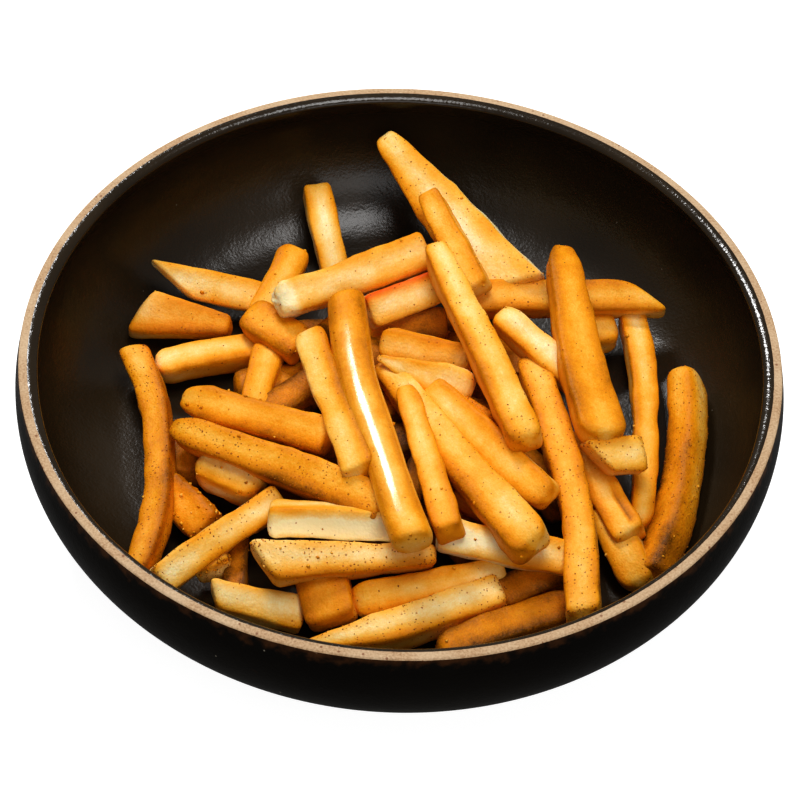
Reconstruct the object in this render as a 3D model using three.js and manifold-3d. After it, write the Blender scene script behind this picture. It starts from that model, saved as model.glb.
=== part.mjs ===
// A portion of french fries heaped in a stoneware bowl.
// Units are millimetres, +Z is up, and the origin is the middle of the bowl's foot.
import * as THREE from 'three';
import { mergeVertices } from 'three/addons/utils/BufferGeometryUtils.js';
import Module from 'manifold-3d';

const wasm = await Module();
wasm.setup();

// ---- driving dimensions ----

const HEIGHT = 50; // bowl, foot to rim
const RIM_RADIUS = 100; // outer edge of the rim
const RIM_WIDTH = 2.6; // flat unglazed band on top of the wall
const RIM_EASE = 0.5; // small round on both edges of the rim
const WALL = 4; // wall thickness
const BELLY_RADIUS = 30.6; // round of the bowl's side, on the outside
const BELLY_CENTRE = { r: 70.9, z: 39.2 }; // centre of that round
const SHOULDER_ANGLE = 10.5; // degrees that the side turns in again under the rim
const UNDERSIDE_ANGLE = 78; // degrees of the round before the underside runs straight
const FLOOR_ANGLE = 82.6; // the same, on the inside
const FLOOR_HEIGHT = 8; // inside floor at the middle
const FOOT = { inner: 45, outer: 50, height: 3, ease: 0.8, flare: 2 };
const AROUND = 64; // facets round the bowl
const ROUND_STEPS = 7; // facets along the round of the side

const CLEARANCE = 0.35; // gap between the fries and the glaze
const FILL_TOP = 70; // the space for the fries ends well above the rim

// The middle of the heap, that nothing is seen of.
const CORE = { top: 19, shoulder: 42, radius: 62, edge: 15 };
const CORE_AROUND = 16;

// Fries that fill the heap between the core and the ones that show.
const FILLING = {
  count: 22, // how many
  seed: 7, // of the random directions and lengths
  width: 9.5,
  depth: 9,
  length: [22, 36],
  radius: 44, // of the part of the heap that they fill
  low: 18, // height of their middles at that radius
  high: 23, // and in the middle of the heap
};

const CHAMFER = 0.24; // share of a fry's half width that its long edges lose
// How the end of a fry closes: over what length, and to what share of its width.
const ENDS = {
  cut: { run: 1.5, left: 0.78, steps: 1, curve: 2 },
  round: { run: 4.5, left: 0.5, steps: 2, curve: 2 },
  tip: { run: 18, left: 0.25, steps: 1, curve: 1 },
  wedge: { run: 15, left: 0.25, steps: 2, curve: 1.3 },
};

// The fries that show. Each runs from one end to the other, with its width and depth.
// taper is the share of the width that it has at either end, and ends how they close.
// bow is how far its middle stands to the left of the straight line, seen along it.
// slant turns the cut of each end, and roll turns the whole fry about its length,
// so that its top leans to the right.
const FRIES = [
  // leaning on the far wall
  { from: [-6, 91, 39], to: [29, 42, 30], width: 13, depth: 8, roll: 30,
    taper: [0.45, 1.5], ends: ['round', 'cut'], slant: [0, 25] },
  { from: [6, 65, 42], to: [20, 34, 37], width: 8.5, depth: 8, roll: 25, taper: [0.8, 1.05] },
  { from: [-27, 81, 27], to: [-20, 59, 19], width: 8.5, depth: 8 },
  { from: [-31, 61, 21], to: [-39, 35, 20], width: 10, depth: 8, roll: -10, ends: ['round', 'cut'] },
  { from: [-35, 31, 31], to: [5, 53, 32], width: 9.5, depth: 9, roll: 30, taper: [0.85, 1] },
  // down the left side
  { from: [-71, 45, 25], to: [-42, 44, 20], width: 8.5, depth: 8, roll: 35,
    taper: [0.75, 1], slant: [-45, 0] },
  { from: [-75, 35, 21], to: [-46, 33, 20], width: 11, depth: 9, roll: 30, taper: [1.05, 0.55] },
  { from: [-67, 16, 19], to: [-43, 26, 17], width: 8.5, depth: 8.5, roll: 5 },
  { from: [-43, 35, 22], to: [-29, 22, 23], width: 10, depth: 9, roll: 25 },
  { from: [-37, 24, 19], to: [-40, -2, 20], width: 8.5, depth: 8, roll: -5 },
  { from: [-73, 18, 22], to: [-65, -54, 25], width: 8.5, depth: 8, bow: 6, roll: 15,
    taper: [1, 0.8], ends: ['cut', 'round'] },
  { from: [-58, -2, 27], to: [-18, -17, 31], width: 10, depth: 9, roll: 25, ends: ['round', 'cut'] },
  { from: [-59, -13, 28], to: [-3, -40, 33], width: 10, depth: 10, roll: 25, taper: [0.8, 1.1] },
  { from: [-57, -4, 17], to: [-56, -21, 17], width: 10, depth: 9 },
  { from: [-61, -26, 18], to: [-48, -39, 18], width: 10, depth: 9, roll: 25 },
  { from: [-51, -20, 22], to: [-35, -29, 23], width: 10, depth: 10, roll: 20 },
  { from: [-57, -60, 24], to: [-30, -33, 25], width: 8.5, depth: 8, roll: 30 },
  { from: [-50, -53, 17], to: [-43, -48, 17], width: 6.5, depth: 7, ends: ['round', 'round'] },
  { from: [-38, -36, 17], to: [-37, -60, 17], width: 8, depth: 8 },
  // the middle
  { from: [-15, 28, 37], to: [8, -57, 40], width: 9, depth: 9, bow: -3.5 },
  { from: [-25, 18, 33], to: [-9, -34, 38], width: 7.5, depth: 8, roll: 40, ends: ['round', 'cut'] },
  { from: [-10, 31, 29], to: [9, 41, 29], width: 9.5, depth: 8, roll: 35 },
  { from: [-10, 31, 22], to: [12, 35, 22], width: 9, depth: 8, roll: 40 },
  { from: [-6, 18, 30], to: [13, 16, 30], width: 8.5, depth: 8, roll: 40 },
  { from: [-6, 10, 33], to: [17, 2, 33], width: 9.5, depth: 8, roll: 40, ends: ['tip', 'round'] },
  { from: [1, 1, 32], to: [15, -51, 37], width: 7.5, depth: 8, roll: 15 },
  { from: [10, -12, 39], to: [37, -57, 39], width: 10, depth: 10, roll: 20,
    taper: [0.75, 1.15], ends: ['cut', 'round'] },
  { from: [14, -4, 33], to: [40, -35, 32], width: 9, depth: 8, roll: 30, ends: ['cut', 'round'] },
  { from: [10, 3, 27], to: [25, -8, 27], width: 10, depth: 9, roll: 35 },
  { from: [8, 46, 40], to: [34, -22, 39], width: 10, depth: 10, roll: 5,
    taper: [0.7, 1.05], ends: ['round', 'round'] },
  { from: [17, -27, 25], to: [33, -39, 25], width: 10, depth: 8, roll: 35 },
  // the right side
  { from: [18, 39, 28], to: [73, 40, 28], width: 10.5, depth: 9.5, roll: 25, ends: ['cut', 'wedge'] },
  { from: [26, 26, 36], to: [43, 11, 36], width: 9, depth: 8, roll: 35, ends: ['round', 'cut'] },
  { from: [43, 50, 38], to: [54, -17, 37], width: 10, depth: 9, roll: -5,
    taper: [0.8, 1.15], ends: ['round', 'cut'] },
  { from: [35, 15, 29], to: [49, -69, 28], width: 9.5, depth: 9, bow: 4, roll: 10, taper: [0.85, 1] },
  { from: [43, 34, 20], to: [60, 35, 21], width: 8, depth: 8, roll: 15 },
  { from: [65, 41, 22], to: [68, -30, 22], width: 8, depth: 8, bow: 1, taper: [1, 0.6] },
  { from: [78, 17, 23], to: [70, -41, 21], width: 8.5, depth: 8.5, bow: 3, roll: 40, slant: [15, 0] },
  { from: [53, -22, 33], to: [63, -19, 32], width: 8.5, depth: 8, roll: 40, slant: [-30, 0] },
  { from: [47, -6, 23], to: [62, -39, 23], width: 9, depth: 8, roll: 20 },
  { from: [50, -25, 20], to: [62, -48, 20], width: 9, depth: 8, roll: 20 },
  // along the near wall
  { from: [-32, -44, 30], to: [2, -43, 30], width: 8.5, depth: 8, roll: 60 },
  { from: [-33, -58, 29], to: [11, -51, 27], width: 7.5, depth: 9.5, roll: -10,
    taper: [1, 0.55], slant: [-30, 0] },
  { from: [12, -46, 29], to: [46, -49, 25], width: 9, depth: 8, roll: 40 },
  { from: [-45, -62, 20], to: [-22, -64, 18], width: 8.5, depth: 7.5, roll: 35, taper: [0.75, 1] },
  { from: [-17, -52, 23], to: [-11, -67, 18], width: 11, depth: 9, roll: 15 },
  { from: [-9, -57, 19], to: [28, -45, 19], width: 8, depth: 7.5, roll: 40 },
  { from: [-21, -76, 21], to: [28, -53, 20], width: 8, depth: 8.5, roll: -5, ends: ['tip', 'cut'] },
  { from: [13, -76, 20], to: [50, -58, 19], width: 9, depth: 9, roll: 5 },
  { from: [28, -57, 18], to: [46, -46, 19], width: 9, depth: 9, roll: 15 },
];

// ---- the bowl ----

const radians = THREE.MathUtils.degToRad;
const point = (r, z) => new THREE.Vector2(r, z);

// Points on the round of the side, from one angle below the level of its centre to another.
function belly(radius, fromAngle, toAngle, steps) {
  const points = [];
  for (let i = 0; i <= steps; i += 1) {
    const angle = radians(THREE.MathUtils.lerp(fromAngle, toAngle, i / steps));
    const r = BELLY_CENTRE.r + radius * Math.cos(angle);
    const z = BELLY_CENTRE.z - radius * Math.sin(angle);
    points.push(point(r, z));
  }
  return points;
}

// The inside of the bowl from the rim down to the middle of the floor.
// inset draws it in, to leave a gap round what lies in the bowl.
function insideProfile(inset) {
  const side = belly(BELLY_RADIUS - WALL - inset, -SHOULDER_ANGLE, FLOOR_ANGLE, ROUND_STEPS + 1);
  const edge = side[side.length - 1];
  const low = FLOOR_HEIGHT + inset;
  const floor = [0.66, 0.33, 0].map((share) => point(edge.x * share, low + (edge.y - low) * share ** 2));
  return [...side, ...floor];
}

function outsideProfile() {
  const foot = [
    point(0, FOOT.height),
    point(FOOT.inner - FOOT.ease, FOOT.height),
    point(FOOT.inner, FOOT.height - FOOT.ease),
    point(FOOT.inner + FOOT.ease / 2, 0),
    point(FOOT.outer - FOOT.ease / 2, 0),
    point(FOOT.outer, FOOT.ease),
    point(FOOT.outer + FOOT.flare, FOOT.height + FOOT.ease),
  ];
  return [...foot, ...belly(BELLY_RADIUS, UNDERSIDE_ANGLE, -SHOULDER_ANGLE, ROUND_STEPS)];
}

function rimProfile() {
  const inner = RIM_RADIUS - RIM_WIDTH;
  return [
    point(RIM_RADIUS, HEIGHT - RIM_EASE),
    point(RIM_RADIUS - RIM_EASE, HEIGHT),
    point(inner + RIM_EASE, HEIGHT),
    point(inner, HEIGHT - RIM_EASE),
  ];
}

function bowlGeometry() {
  const profile = [...outsideProfile(), ...rimProfile(), ...insideProfile(0)];
  return lathe(profile, AROUND);
}

// A closed turned solid about +Z.
function lathe(profile, around) {
  return new THREE.LatheGeometry(profile, around).rotateX(Math.PI / 2);
}

// ---- the fries ----

// The section of a fry: a rectangle with its corners cut off.
function section(halfWidth, halfDepth) {
  const cut = CHAMFER * Math.min(halfWidth, halfDepth);
  const corners = [[1, 1], [-1, 1], [-1, -1], [1, -1]];
  return corners.flatMap(([x, y]) => {
    const onSide = [x * halfWidth, y * (halfDepth - cut)];
    const onTop = [x * (halfWidth - cut), y * halfDepth];
    return x * y > 0 ? [onSide, onTop] : [onTop, onSide];
  });
}

// What share of its full width a fry has at a distance from one end.
function swell(distance, end) {
  if (distance >= end.run) return 1;
  const toFull = 1 - distance / end.run;
  return end.left + (1 - end.left) * (1 - toFull ** end.curve) ** (1 / end.curve);
}

// Where along its length a fry needs a section: round both ends, and along a bow.
function stations(length, start, finish, bow) {
  const ease = (end) => Array.from({ length: end.steps }, (_, i) => end.run * (i / end.steps) ** 1.5);
  const fromStart = [...ease(start), start.run];
  const fromFinish = [...ease(finish), finish.run].map((d) => length - d).reverse();
  const between = bow ? [0.35, 0.65].map((share) => share * length) : [];
  const inner = between.filter((d) => d > start.run + 2 && d < length - finish.run - 2);
  return [...fromStart, ...inner, ...fromFinish];
}

function fryGeometry(fry) {
  const { width, depth, bow = 0, roll = 0, ends = ['cut', 'cut'], taper = [1, 1], slant = [0, 0] } = fry;
  const start = new THREE.Vector3(...fry.from);
  const along = new THREE.Vector3(...fry.to).sub(start);
  const length = along.length();
  along.normalize();
  const left = new THREE.Vector3(-along.y, along.x, 0).normalize();
  const aside = left.clone().applyAxisAngle(along, radians(roll));
  const up = new THREE.Vector3().crossVectors(along, aside);
  const lean = slant.map((angle) => Math.tan(radians(angle)));
  const [first, last] = ends.map((name) => ENDS[name]);
  const rings = stations(length, first, last, bow).map((distance) => {
    const share = distance / length;
    const size = swell(distance, first) * swell(length - distance, last);
    const halfWidth = (width / 2) * size * THREE.MathUtils.lerp(taper[0], taper[1], share);
    const middle = start.clone().addScaledVector(along, distance);
    middle.addScaledVector(left, bow * 4 * share * (1 - share));
    const leaning = THREE.MathUtils.lerp(lean[0], lean[1], share);
    return section(halfWidth, (depth / 2) * size).map(([x, y]) => {
      const corner = middle.clone().addScaledVector(aside, x).addScaledVector(up, y);
      return corner.addScaledVector(along, x * leaning);
    });
  });
  return skin(rings);
}

// The closed surface through rings of points, with a flat cap on both ends.
function skin(rings) {
  const around = rings[0].length;
  const index = [];
  for (let ring = 0; ring < rings.length - 1; ring += 1) {
    for (let i = 0; i < around; i += 1) {
      const a = ring * around + i;
      const b = ring * around + ((i + 1) % around);
      index.push(a, b, b + around, a, b + around, a + around);
    }
  }
  const lastRing = (rings.length - 1) * around;
  for (let i = 1; i < around - 1; i += 1) {
    index.push(0, i + 1, i);
    index.push(lastRing, lastRing + i, lastRing + i + 1);
  }
  const geometry = new THREE.BufferGeometry().setFromPoints(rings.flat());
  geometry.setIndex(index);
  return geometry;
}

function coreGeometry() {
  const profile = [
    point(0, 0),
    point(CORE.radius, 0),
    point(CORE.radius, CORE.edge),
    point(CORE.shoulder, CORE.top - 2),
    point(CORE.shoulder / 2, CORE.top),
    point(0, CORE.top),
  ];
  return lathe(profile, CORE_AROUND);
}

// A repeatable stream of numbers from 0 to 1.
function randomStream(seed) {
  let state = seed;
  return () => {
    state = (state * 16807) % 2147483647;
    return state / 2147483647;
  };
}

// The filling, laid down evenly from the middle outwards, highest in the middle.
function fillingFries() {
  const random = randomStream(FILLING.seed);
  const goldenAngle = Math.PI * (3 - Math.sqrt(5));
  return Array.from({ length: FILLING.count }, (_, i) => {
    const out = Math.sqrt((i + 0.5) / FILLING.count);
    const place = i * goldenAngle;
    const heading = place + Math.PI / 2 + (random() - 0.5) * Math.PI * (1.6 - out);
    const half = THREE.MathUtils.lerp(FILLING.length[0], FILLING.length[1], random()) / 2;
    const x = FILLING.radius * out * Math.cos(place);
    const y = FILLING.radius * out * Math.sin(place);
    const z = THREE.MathUtils.lerp(FILLING.high, FILLING.low, out);
    const along = [half * Math.cos(heading), half * Math.sin(heading)];
    return {
      from: [x - along[0], y - along[1], z],
      to: [x + along[0], y + along[1], z],
      width: FILLING.width,
      depth: FILLING.depth,
    };
  });
}

// ---- joining and cutting ----

function toSolid(geometry) {
  const bare = geometry.clone();
  bare.deleteAttribute('normal');
  bare.deleteAttribute('uv');
  const merged = mergeVertices(bare, 1e-4);
  const faces = merged.index.array;
  const kept = [];
  for (let i = 0; i < faces.length; i += 3) {
    const [a, b, c] = faces.slice(i, i + 3);
    if (a !== b && b !== c && c !== a) kept.push(a, b, c);
  }
  return new wasm.Manifold(new wasm.Mesh({
    numProp: 3,
    vertProperties: new Float32Array(merged.attributes.position.array),
    triVerts: new Uint32Array(kept),
  }));
}

// The outer skin of a solid: its largest connected surface, without sealed hollows or loose scraps.
function outerSkin(solid) {
  const { vertProperties, triVerts, numProp } = solid.getMesh();
  const parent = Array.from({ length: vertProperties.length / numProp }, (_, i) => i);
  const root = (i) => {
    let at = i;
    while (parent[at] !== at) at = parent[at];
    return at;
  };
  for (let i = 0; i < triVerts.length; i += 3) {
    const a = root(triVerts[i]);
    parent[root(triVerts[i + 1])] = a;
    parent[root(triVerts[i + 2])] = a;
  }
  const surfaces = new Map();
  for (let i = 0; i < triVerts.length; i += 3) {
    const key = root(triVerts[i]);
    if (!surfaces.has(key)) surfaces.set(key, []);
    surfaces.get(key).push(...triVerts.slice(i, i + 3));
  }
  const largest = [...surfaces.values()].sort((a, b) => b.length - a.length)[0];
  const geometry = new THREE.BufferGeometry();
  geometry.setAttribute('position', new THREE.BufferAttribute(new Float32Array(vertProperties), numProp));
  geometry.setIndex(largest);
  return mergeVertices(geometry.toNonIndexed(), 1e-5);
}

// The heap: every fry fused to the mound, kept inside the bowl's glaze by the clearance.
function heapGeometry() {
  const inside = insideProfile(CLEARANCE).reverse();
  const mouth = inside[inside.length - 1].x;
  const space = toSolid(lathe([...inside, point(mouth, FILL_TOP), point(0, FILL_TOP)], AROUND));
  let heap = toSolid(coreGeometry());
  for (const fry of [...fillingFries(), ...FRIES]) heap = heap.add(toSolid(fryGeometry(fry)));
  return outerSkin(heap.intersect(space));
}

// ---- the portion ----

function piece(name, geometry, colour, roughness) {
  const material = new THREE.MeshStandardMaterial({ color: colour, roughness, metalness: 0 });
  const mesh = new THREE.Mesh(geometry, material);
  mesh.name = name;
  return mesh;
}

const portion = new THREE.Group();
portion.add(piece('bowl', bowlGeometry(), 0x15120e, 0.35));
portion.add(piece('fries', heapGeometry(), 0xf0a83c, 0.55));

export default portion;
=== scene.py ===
import math

import bpy
import numpy as np
from mathutils import Matrix, Vector


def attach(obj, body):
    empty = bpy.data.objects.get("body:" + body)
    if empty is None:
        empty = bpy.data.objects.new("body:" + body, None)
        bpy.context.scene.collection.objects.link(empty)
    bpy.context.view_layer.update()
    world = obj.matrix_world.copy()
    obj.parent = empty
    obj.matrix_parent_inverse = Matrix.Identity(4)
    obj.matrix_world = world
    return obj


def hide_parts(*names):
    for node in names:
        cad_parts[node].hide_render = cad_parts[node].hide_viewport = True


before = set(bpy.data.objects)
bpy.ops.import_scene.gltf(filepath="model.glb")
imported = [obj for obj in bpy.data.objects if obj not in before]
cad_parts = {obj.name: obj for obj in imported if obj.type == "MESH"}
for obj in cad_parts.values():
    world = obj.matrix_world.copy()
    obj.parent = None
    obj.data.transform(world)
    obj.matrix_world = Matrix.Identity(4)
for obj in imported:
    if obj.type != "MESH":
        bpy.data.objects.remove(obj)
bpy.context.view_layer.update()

MM = 0.001

# ---- the bowl's sizes ----

HEIGHT = 50
RIM_RADIUS = 100
RIM_WIDTH = 2.4  # bare clay
RIM_EASE = 0.5
BEAD_WIDTH = 2.6  # the roll of glaze inside the bare clay
BEAD_DEPTH = 1.5
BEAD_LOSS = 0.45  # the share of its width that the roll lacks on the near side
BEAD_STEP = 1.1  # how far the glaze under the roll stands in from the wall
BEAD_RETURN = 9  # and the height over which it swings back out to it
WALL = 4
BELLY_RADIUS = 30.6
BELLY_R = 70.9  # centre of the round of the side, from the bowl's middle
BELLY_Z = 39.2  # and its height
SHOULDER_ANGLE = 10.5
UNDERSIDE_ANGLE = 78
FLOOR_ANGLE = 82.6
FLOOR_HEIGHT = 8
FOOT_INNER = 45
FOOT_OUTER = 50
FOOT_HEIGHT = 3
FOOT_FLARE = 2
GLAZE_GAP = 0.35  # between the fries and the glaze
BOWL_AROUND = 288  # points round the bowl

# ---- the fries' sizes ----

# How an end closes: over what length, to what share of its width, and how roundly.
ENDS = {
    "cut": (2.0, 0.72, 2.0),
    "round": (4.5, 0.45, 2.0),
    "blunt": (9, 0.4, 1.6),
    "tip": (18, 0.2, 1.0),
    "torn": (4.5, 0.4, 2.0),
}


def fry(start, finish, width, depth, bow=0, roll=0, taper=(1, 1), ends="cut cut", slant=(0, 0), plump=None,
        tone=0.45, turn=0.0, across=0.0, warm=0.0, blush=0.0, spice=0.15, oil=0.0, edge=0.66, crumbly=0.0,
        split=False):
    """One fry, from one end to the other.

    bow is how far its middle stands to the left, seen along it. roll leans its top to the right.
    taper is the share of its width at either end, slant the angle of either cut, and plump how
    square its section is, from 2 for round up.
    tone is how brown it is, from 0 pale to 1 brown: mostly how long it was fried, and on the fries
    deepest in the heap painted shade as well. turn is what is added to that at its finish; on some
    fries it paints the shade where that end runs in under others. across is what is added on its left
    side and taken off on its right: on most fries it browns the side turned away from the light,
    which is painted shade, and on a few it is the crust's own colour. warm turns it orange all over
    and blush on its left side alone, or its right below 0. spice is how much is on it, oil how wet it
    is, edge how brown its edges are and crumbly how rough its crust is. split opens a crack along its
    top, near its finish, and browns it there as painted shade in the groove.
    """
    return dict(start=start, finish=finish, width=width, depth=depth, bow=bow, roll=roll, taper=taper,
                ends=ends.split(), slant=slant, plump=plump, tone=tone, turn=turn, across=across,
                warm=warm, blush=blush, spice=spice, oil=oil, edge=edge, crumbly=crumbly, split=split)


# In this table across mostly browns the side of a fry turned away from the light: painted shade.
FRIES = [
    # at the far side
    fry((-7, 91, 39), (28.5, 41.5, 30), 14, 8, roll=30, taper=(0.5, 1.5), ends="round cut", slant=(0, 25),
        tone=0.4, turn=-0.1, across=-0.2, spice=0.5),
    fry((6, 65, 42), (20, 34, 37), 8.5, 8, roll=25, taper=(0.8, 1.05), tone=0.63, edge=0.2),
    fry((-27, 81, 27), (-18.3, 50, 14.5), 8.5, 8, tone=0.33),
    fry((-31, 61, 21), (-39, 35, 20), 10, 8, roll=-10, ends="round cut", tone=0.5, plump=4),
    fry((-35, 30.5, 31), (5.5, 52.5, 32), 11.2, 9, roll=30, taper=(0.9, 1), ends="torn cut",
        tone=0.3, turn=0.15),
    # down the left side
    fry((-66, 44.5, 25), (-37, 44, 18), 9.4, 8, roll=35, taper=(0.9, 1), slant=(-60, 0), tone=0.2, turn=0.25),
    # its finish is turned dark brown where it runs in under the fries beside it: painted shade
    fry((-73.5, 34.5, 21), (-48, 31.5, 19.5), 12.5, 9, roll=30, taper=(1.1, 0.5), slant=(22, 0),
        tone=0.26, turn=0.6, across=-0.06, warm=0.16),
    fry((-67, 16, 19), (-38.5, 28, 15.5), 9, 8.5, roll=5, ends="round cut",
        tone=0.34, turn=0.15, across=-0.18),
    fry((-43.5, 34, 22), (-27, 22.5, 23), 12, 9, roll=12, ends="round cut", plump=4, tone=0.72),
    fry((-37, 24, 19), (-40, -2, 20), 8.5, 8, roll=-5, tone=0.57),
    fry((-73, 18, 22), (-64.5, -57, 22), 9, 8, bow=6.5, roll=15, taper=(0.95, 0.8), ends="cut round",
        tone=0.66, turn=0.16, across=0.1, blush=0.55, spice=0.9),
    fry((-58, -2, 27), (-18, -17, 31), 10, 9, roll=25, ends="blunt cut", tone=0.78, turn=-0.18,
        across=-0.14, crumbly=0.2),
    fry((-59.5, -12.5, 28), (-1.5, -41, 33.5), 10, 10, roll=25, taper=(0.85, 1.1), ends="blunt cut",
        tone=0.75, turn=-0.12, across=-0.12, spice=0.9),
    # deep in a gap and given the darkest brown: painted shade
    fry((-57, -4, 17), (-56, -21, 17), 10, 9, tone=1.0),
    fry((-61, -26, 18), (-48, -39, 18), 10, 9, roll=25, tone=0.74, warm=0.1, crumbly=0.5),
    fry((-51.5, -20, 23.5), (-35, -28.5, 24), 12, 10, roll=15, ends="round round",
        tone=0.42, edge=1.1, crumbly=0.5),
    fry((-59, -61.5, 24), (-30, -33, 25), 8.5, 8, roll=30, tone=0.28, turn=0.15, across=-0.12, spice=0.7),
    fry((-50.5, -54.5, 20.5), (-42.5, -49.5, 20.5), 7.5, 8, ends="round round",
        tone=0.4, spice=1, crumbly=0.6),
    # deep in a gap and given the darkest brown: painted shade
    fry((-41, -37, 16.5), (-40, -60, 16.5), 6.5, 8, tone=1.0),
    # the middle
    fry((-16.2, 28.5, 37), (5.5, -57, 40), 10.5, 9, bow=-2.4, roll=6, tone=0.7, turn=-0.18, oil=1, plump=2.5),
    # across browns its right side: painted shade from the fry that lies over it
    fry((-25.5, 18, 33), (-9, -34, 38), 9, 8, roll=20, ends="round cut", tone=0.44, across=0.25),
    fry((-10, 31, 29), (9, 41, 29), 9.5, 8, roll=35, tone=0.33, blush=1, edge=0.8),
    fry((-10, 31, 22), (12, 35, 22), 9, 8, roll=40, tone=0.85),
    fry((-6, 19, 30), (19, 15, 29), 9.5, 8, roll=40, ends="round cut", tone=0.48, blush=-0.5, edge=0.8),
    fry((-6, 11, 33), (19, 1, 32), 10.5, 8, roll=40, ends="tip round", tone=0.33, blush=-0.3),
    fry((1, 1, 32), (15, -51, 37), 7.5, 8, roll=15, ends="blunt cut", tone=0.52),
    fry((-5, 12, 27.5), (36, -55.5, 38.5), 10, 10, roll=20, taper=(0.75, 1.15), ends="cut round",
        tone=0.5, across=-0.22, spice=0.5),
    fry((9, 2, 31), (40, -35, 32), 9, 8, roll=30, ends="cut round", tone=0.56),
    fry((10, 3, 27), (25, -8, 27), 10, 9, roll=35, tone=0.68, spice=0.9),
    fry((8, 46, 40), (34, -22, 39), 10, 10, roll=5, taper=(0.7, 1.05), ends="round round",
        tone=0.42, turn=0.12, across=-0.14, spice=0.5),
    fry((17, -27, 25), (33, -39, 25), 10, 8, roll=35, tone=0.7, warm=0.6),
    # the right side
    fry((18, 38.5, 28), (69, 42, 28), 9.5, 9.5, bow=1, roll=25, ends="cut round", slant=(0, -52),
        tone=0.62, spice=0.3),
    fry((26, 26, 36), (50, 6, 29.5), 8, 8, roll=15, ends="round cut", tone=0.28, across=-0.25),
    fry((43.2, 50, 38), (54.5, -17.5, 37), 12, 9, bow=-2, roll=-5, taper=(0.76, 1.12), ends="blunt round",
        tone=0.81, turn=-0.18, across=-0.06, blush=-0.3),
    fry((35, 15.5, 29), (49, -69, 28), 9.5, 9, bow=4, roll=10, taper=(0.9, 1), ends="round cut",
        tone=0.63, turn=-0.06, spice=1),
    fry((42, 34, 21), (59.5, 35, 22), 10, 9, roll=15, ends="cut round", tone=0.55),
    fry((64, 41, 22), (64.5, -33, 20), 8, 8, bow=3, taper=(1, 0.8), ends="cut round", tone=0.41, turn=0.2),
    # its finish is turned darker by the near wall: partly a browner, spiced crust, partly painted shade
    fry((78, 20, 23), (67, -48, 19), 10.5, 9.5, bow=4, roll=40, taper=(0.85, 1.1), ends="round cut", plump=3,
        tone=0.6, turn=0.42, across=-0.1, spice=0.9),
    fry((52, -20, 33), (64.5, -17, 32), 10, 8, roll=25, slant=(-35, 0), tone=0.33, spice=0.5),
    fry((47, -6, 23), (62, -39, 23), 9, 8, roll=20, tone=0.55, edge=1, split=True),
    fry((56, -28, 21), (65, -50, 18), 10, 8.5, roll=25, ends="cut round", tone=0.36, turn=0.2),
    # along the near wall
    fry((-32, -44, 30.5), (2, -43, 30.5), 8.5, 9.5, roll=51, tone=0.0, across=0.38, edge=0.6),
    fry((-33, -58, 29), (11, -51, 27), 10.5, 8.5, roll=25, taper=(1.12, 0.55), slant=(-30, 0),
        tone=0.39, spice=1, across=-0.18, warm=0.06, blush=-0.4, crumbly=0.12),
    fry((12, -46, 31), (46, -49, 26), 9, 8, roll=32, tone=0.02, turn=0.38),
    fry((-45, -62, 20.5), (-22, -64, 16.5), 9.5, 7.5, roll=22, taper=(0.85, 1), slant=(-25, 0),
        tone=0.3, across=-0.14),
    fry((-19.5, -52, 23.5), (-14.5, -68, 19.5), 13.5, 9, roll=15, tone=0.66, warm=0.1),
    fry((-9, -62.5, 21), (29, -50, 21), 9, 7.5, roll=30, tone=0.5, ends="round cut"),
    fry((-21, -76.5, 21), (28.5, -56, 20), 9, 8.5, bow=-2.8, roll=10, ends="tip cut", tone=0.42, turn=-0.08,
        across=-0.15, spice=0.9),
    # these two lie in the near wall's shade and are toned dark: partly a browner crust, partly painted shade
    fry((13, -76, 20), (50, -58, 19), 9, 9, roll=5, tone=0.88, turn=0.1, ends="round cut"),
    fry((28, -57, 18), (46, -46, 19), 9, 9, roll=15, tone=0.9),
]

# The fries under the ones that show, in layers: how many, how far out, and how high they lie in the
# middle and at the edge.
LAYERS = [
    dict(count=26, radius=42, middle=14.5, edge=15.5),
    dict(count=16, radius=33, middle=22.0, edge=18.5),
]
LAYER_LENGTH = (24, 36)
LAYER_WIDTH = 9.5
LAYER_DEPTH = 9

FRY_AROUND = 32  # points round a fry
FRY_STEP = 1.6  # and the distance between them along it
HIDDEN_AROUND = 16
HIDDEN_STEP = 4.0
END_RUN = 5  # the longest stretch at an end whose points are closer together
DRAWN_IN = np.array([0.8, 0.52, 0.24, 0.06])  # the sizes of the rings that close an end

# Loose grains: how many on a fry that has the most, how wide, and what share of their height is sunk.
SPICE_COUNT = 520
SPICE_SIZES = (0.22, 0.5)
SPICE_SUNK = 0.35
CRUMB_COUNT = 160
FEWEST_CRUMBS = 4
CRUMB_SIZES = (0.5, 1.3)
CRUMB_SUNK = 0.3
COVERED = 0.4  # a grain this deep inside another fry is left out

# ---- helpers ----


def smooth(low, high, value):
    """Goes from 0 at low to 1 at high, level at both."""
    share = np.clip((value - low) / (high - low), 0, 1)
    return share * share * (3 - 2 * share)


def lumps(points, size, seed, count=14):
    """A smooth random field from about -1 to 1, whose lumps are about size across.

    Each use has a seed of its own, so no two fields are alike. count is how many waves are mixed.
    """
    stream = np.random.RandomState(seed)
    ways = stream.normal(size=(count, 3))
    ways *= (math.pi / size) / np.linalg.norm(ways, axis=1)[:, None] * stream.uniform(0.6, 1.5, (count, 1))
    phases = stream.uniform(0, 2 * math.pi, count)
    return np.sin(points @ ways.T + phases).sum(1) / math.sqrt(count)


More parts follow.
